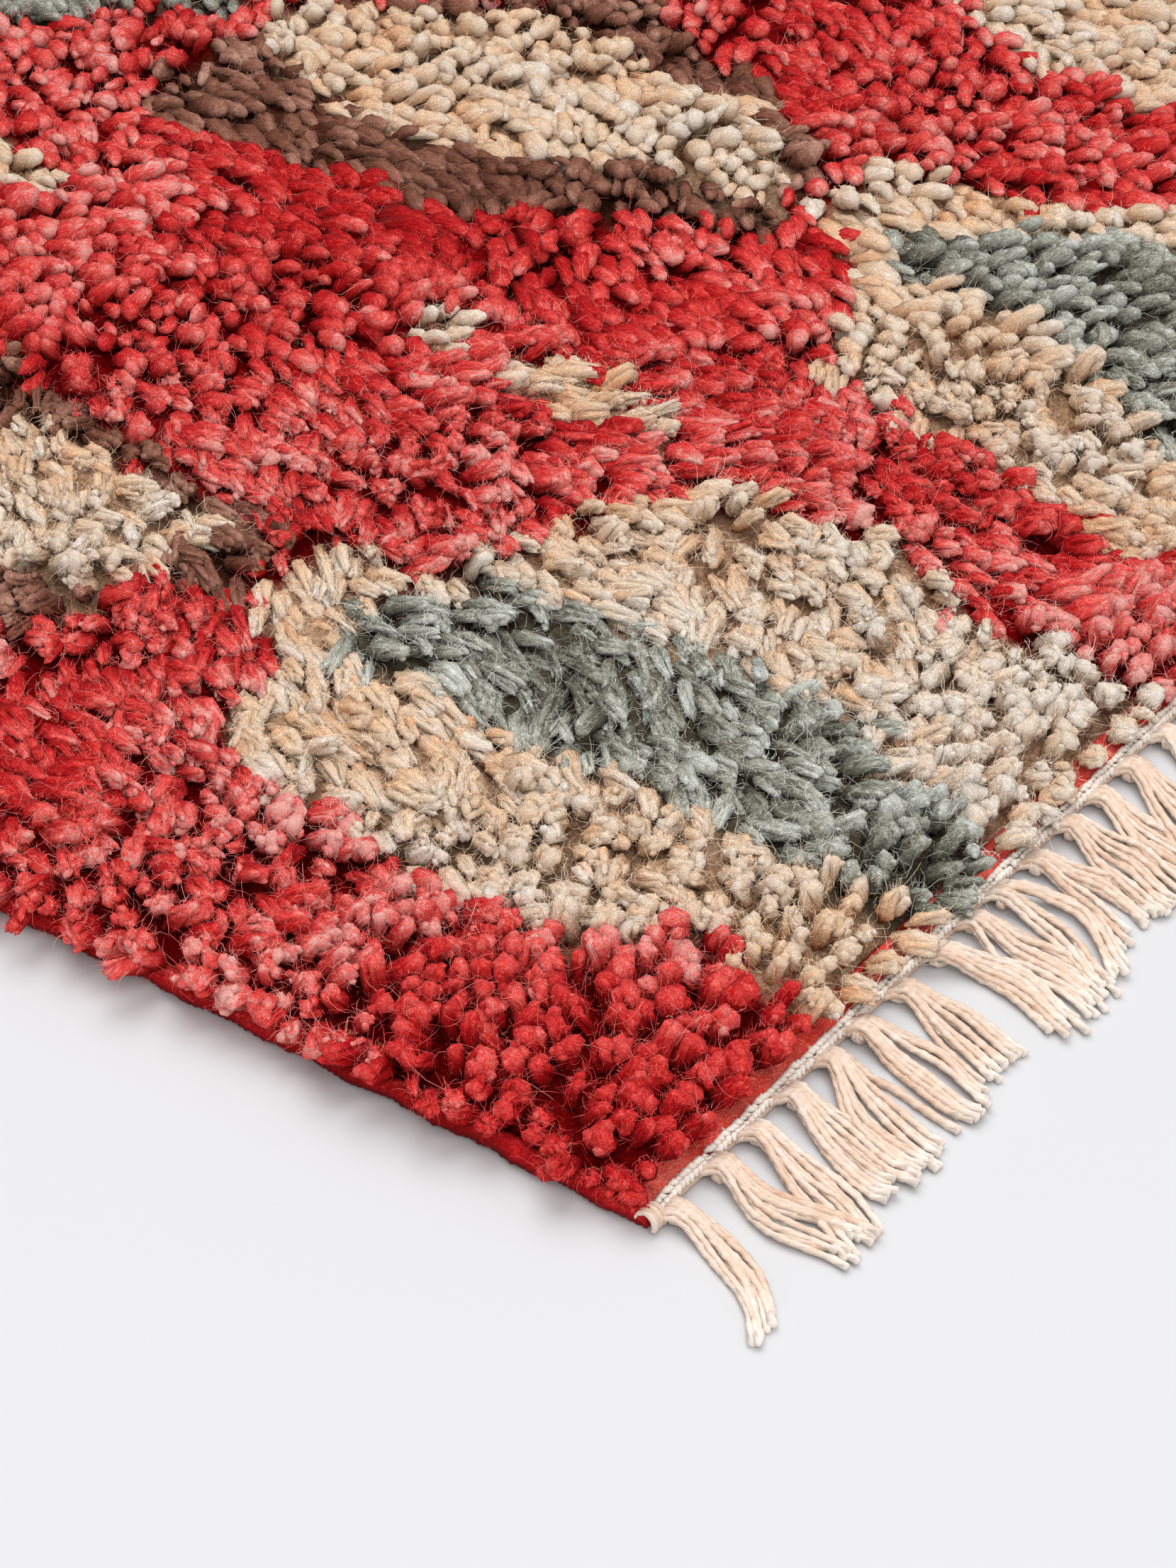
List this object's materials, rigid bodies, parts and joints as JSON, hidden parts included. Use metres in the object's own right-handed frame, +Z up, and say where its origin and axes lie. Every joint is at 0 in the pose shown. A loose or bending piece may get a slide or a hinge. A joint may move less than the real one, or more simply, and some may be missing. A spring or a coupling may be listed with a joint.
{
  "type": "berber rug",
  "caption": "Hand-knotted shag rug of thick handspun wool with lozenges on a red ground, wool-wrapped sides, and a braid with knotted cotton tassels at both ends.",
  "frame": {"origin": "on the floor, under the middle of the rug and its fringes", "axes": "+X across the rug, +Y along its length, +Z up through the pile; the end that the picture shows is at -Y and its left side at -X"},
  "size_m": [1.0167, 1.6344, 0.03],
  "materials": {
    "ground_weave": "matt flat weave of red wool over cotton warps",
    "pile_wool": "long soft handspun wool, red with beige, grey-green and brown",
    "binding_wool": "hairy red wool wound round the side warps",
    "fringe_cotton": "undyed two-ply cotton, matt"
  },
  "bodies": {
    "root": {"ground": "ground_weave", "pile": "pile_wool", "binding_left": "binding_wool", "binding_right": "binding_wool", "fringe_front": "fringe_cotton", "fringe_back": "fringe_cotton"}
  },
  "joints": []
}
